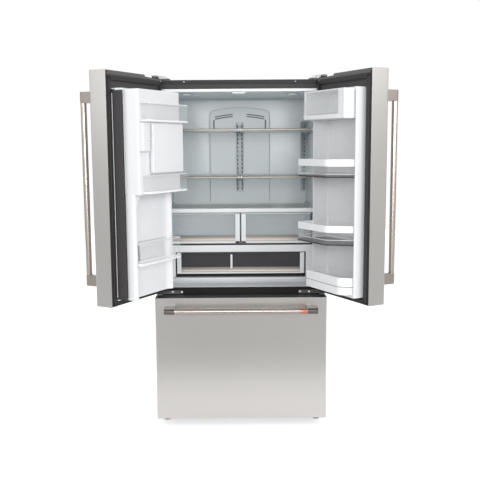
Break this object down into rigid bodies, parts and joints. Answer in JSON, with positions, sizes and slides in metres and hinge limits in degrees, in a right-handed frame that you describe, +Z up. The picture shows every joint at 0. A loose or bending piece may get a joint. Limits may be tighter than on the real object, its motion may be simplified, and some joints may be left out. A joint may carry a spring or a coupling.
{
  "type": "french door refrigerator",
  "caption": "Tall refrigerator with two side-hinged upper doors, a pull-out freezer drawer, shelves, bins and drawers inside.",
  "frame": {"origin": "on the floor, in the middle of the box that the refrigerator fills with both doors open as at rest", "axes": "+Z up, +Y from the doors to the back, +X to the right of a person facing the doors"},
  "size_m": [1.4713, 1.1872, 1.808],
  "materials": {
    "cabinet_shell": "satin",
    "cabinet_back": "satin",
    "front_rails": "satin",
    "fridge_liner": "satin",
    "freezer_liner": "satin",
    "base_pan": "matte",
    "levelling_feet": "matte",
    "door_hinges": "satin",
    "hinge_covers": "satin",
    "hinge_screws": "satin",
    "shelf_ladders": "satin",
    "duct_cover": "satin",
    "mullion_guide": "satin",
    "shelf_frames": "satin",
    "shelf_glass": "gloss",
    "crisper_cover": "satin",
    "drawer_frame": "satin",
    "compressor": "satin",
    "condenser": "satin",
    "evaporator": "satin",
    "rear_cover": "satin",
    "freezer_rails": "satin",
    "rear_roller_left": "matte",
    "rear_roller_right": "matte",
    "condenser_fan": "satin",
    "evaporator_fan": "satin",
    "left_door_skin": "satin",
    "left_door_frame": "satin",
    "left_door_gasket": "matte",
    "left_door_liner": "satin",
    "ice_box": "satin",
    "left_bin_upper": "gloss",
    "left_bin_middle": "gloss",
    "left_bin_lower": "gloss",
    "left_handle": "satin",
    "dispenser": "gloss",
    "ice_box_door": "satin",
    "dispenser_paddle": "satin",
    "mullion_bar": "satin",
    "right_door_skin": "satin",
    "right_door_frame": "satin",
    "right_door_gasket": "matte",
    "right_door_liner": "satin",
    "dairy_box": "satin",
    "right_bin_upper": "gloss",
    "right_bin_middle": "gloss",
    "right_bin_lower": "gloss",
    "right_handle": "satin",
    "dairy_lid": "gloss",
    "drawer_skin": "satin",
    "drawer_inner": "satin",
    "drawer_gasket": "matte",
    "drawer_handle": "satin",
    "drawer_arms": "satin",
    "freezer_bin": "satin",
    "slide_middles": "satin",
    "freezer_basket": "satin",
    "left_crisper": "satin",
    "right_crisper": "satin",
    "deli_pan": "satin"
  },
  "bodies": {
    "cabinet": {"cabinet_shell": "cabinet_shell", "cabinet_back": "cabinet_back", "front_rails": "front_rails", "fridge_liner": "fridge_liner", "freezer_liner": "freezer_liner", "base_pan": "base_pan", "levelling_feet": "levelling_feet", "door_hinges": "door_hinges", "hinge_covers": "hinge_covers", "hinge_screws": "hinge_screws", "shelf_ladders": "shelf_ladders", "duct_cover": "duct_cover", "mullion_guide": "mullion_guide", "shelf_frames": "shelf_frames", "shelf_glass": "shelf_glass", "crisper_cover": "crisper_cover", "drawer_frame": "drawer_frame", "compressor": "compressor", "condenser": "condenser", "evaporator": "evaporator", "rear_cover": "rear_cover", "freezer_rails": "freezer_rails"},
    "left_roller": {"rear_roller_left": "rear_roller_left"},
    "right_roller": {"rear_roller_right": "rear_roller_right"},
    "condenser_fan_wheel": {"condenser_fan": "condenser_fan"},
    "evaporator_fan_wheel": {"evaporator_fan": "evaporator_fan"},
    "left_door": {"left_door_skin": "left_door_skin", "left_door_frame": "left_door_frame", "left_door_gasket": "left_door_gasket", "left_door_liner": "left_door_liner", "ice_box": "ice_box", "left_bin_upper": "left_bin_upper", "left_bin_middle": "left_bin_middle", "left_bin_lower": "left_bin_lower", "left_handle": "left_handle", "dispenser": "dispenser"},
    "ice_door": {"ice_box_door": "ice_box_door"},
    "paddle": {"dispenser_paddle": "dispenser_paddle"},
    "mullion": {"mullion_bar": "mullion_bar"},
    "right_door": {"right_door_skin": "right_door_skin", "right_door_frame": "right_door_frame", "right_door_gasket": "right_door_gasket", "right_door_liner": "right_door_liner", "dairy_box": "dairy_box", "right_bin_upper": "right_bin_upper", "right_bin_middle": "right_bin_middle", "right_bin_lower": "right_bin_lower", "right_handle": "right_handle"},
    "dairy_cover": {"dairy_lid": "dairy_lid"},
    "drawer": {"drawer_skin": "drawer_skin", "drawer_inner": "drawer_inner", "drawer_gasket": "drawer_gasket", "drawer_handle": "drawer_handle", "drawer_arms": "drawer_arms", "freezer_bin": "freezer_bin"},
    "slides": {"slide_middles": "slide_middles"},
    "basket": {"freezer_basket": "freezer_basket"},
    "crisper_left": {"left_crisper": "left_crisper"},
    "crisper_right": {"right_crisper": "right_crisper"},
    "pan": {"deli_pan": "deli_pan"}
  },
  "joints": [
    {"name": "left_door_hinge", "type": "hinge", "parent": "cabinet", "child": "left_door", "pos_m": [-0.4285, -0.17233, 1], "axis": [0, 0, 1], "range_deg": [-11.7, 118.3]},
    {"name": "right_door_hinge", "type": "hinge", "parent": "cabinet", "child": "right_door", "pos_m": [0.4285, -0.17233, 1], "axis": [0, 0, -1], "range_deg": [-12.7, 117.3]},
    {"name": "mullion_flip", "type": "hinge", "parent": "left_door", "child": "mullion", "pos_m": [-0.56934, -0.54739, 1.2], "axis": [0, 0, -1], "range_deg": [0, 90]},
    {"name": "ice_door_hinge", "type": "hinge", "parent": "left_door", "child": "ice_door", "pos_m": [-0.29088, -0.29811, 1.44], "axis": [0, 0, -1], "range_deg": [-95, 0]},
    {"name": "dispenser_press", "type": "hinge", "parent": "left_door", "child": "paddle", "pos_m": [-0.54909, -0.3442, 1.368], "axis": [-0.4741, -0.8805, 0], "range_deg": [0, 10], "stiffness_Nm_per_rad": 1},
    {"name": "dairy_lid_hinge", "type": "hinge", "parent": "right_door", "child": "dairy_cover", "pos_m": [0.3772, -0.39519, 1.708], "axis": [0.4587, -0.8886, 0], "range_deg": [-80, 0]},
    {"name": "left_crisper_slide", "type": "slide", "parent": "cabinet", "child": "crisper_left", "axis": [0, 1, 0], "range_m": [-0.17, 0]},
    {"name": "right_crisper_slide", "type": "slide", "parent": "cabinet", "child": "crisper_right", "axis": [0, 1, 0], "range_m": [-0.17, 0]},
    {"name": "deli_pan_slide", "type": "slide", "parent": "cabinet", "child": "pan", "axis": [0, 1, 0], "range_m": [-0.22, 0]},
    {"name": "freezer_drawer_slide", "type": "slide", "parent": "cabinet", "child": "drawer", "axis": [0, 1, 0], "range_m": [-0.42, 0]},
    {"name": "slide_middle_travel", "type": "slide", "parent": "cabinet", "child": "slides", "axis": [0, 1, 0], "range_m": [-0.21, 0]},
    {"name": "freezer_basket_slide", "type": "slide", "parent": "cabinet", "child": "basket", "axis": [0, 1, 0], "range_m": [-0.294, 0]},
    {"name": "left_roller_spin", "type": "hinge", "parent": "cabinet", "child": "left_roller", "pos_m": [-0.3955, 0.51697, 0.024], "axis": [1, 0, 0], "continuous": true},
    {"name": "right_roller_spin", "type": "hinge", "parent": "cabinet", "child": "right_roller", "pos_m": [0.3955, 0.51697, 0.024], "axis": [1, 0, 0], "continuous": true},
    {"name": "condenser_fan_spin", "type": "hinge", "parent": "cabinet", "child": "condenser_fan_wheel", "pos_m": [-0.04, 0.46697, 0.15], "axis": [1, 0, 0], "continuous": true},
    {"name": "evaporator_fan_spin", "type": "hinge", "parent": "cabinet", "child": "evaporator_fan_wheel", "pos_m": [0, 0.52197, 0.61], "axis": [0, 1, 0], "continuous": true}
  ],
  "couplings": [
    {"joint": "slide_middle_travel", "follows": "freezer_drawer_slide", "ratio": 0.5},
    {"joint": "freezer_basket_slide", "follows": "freezer_drawer_slide", "ratio": 0.7}
  ]
}
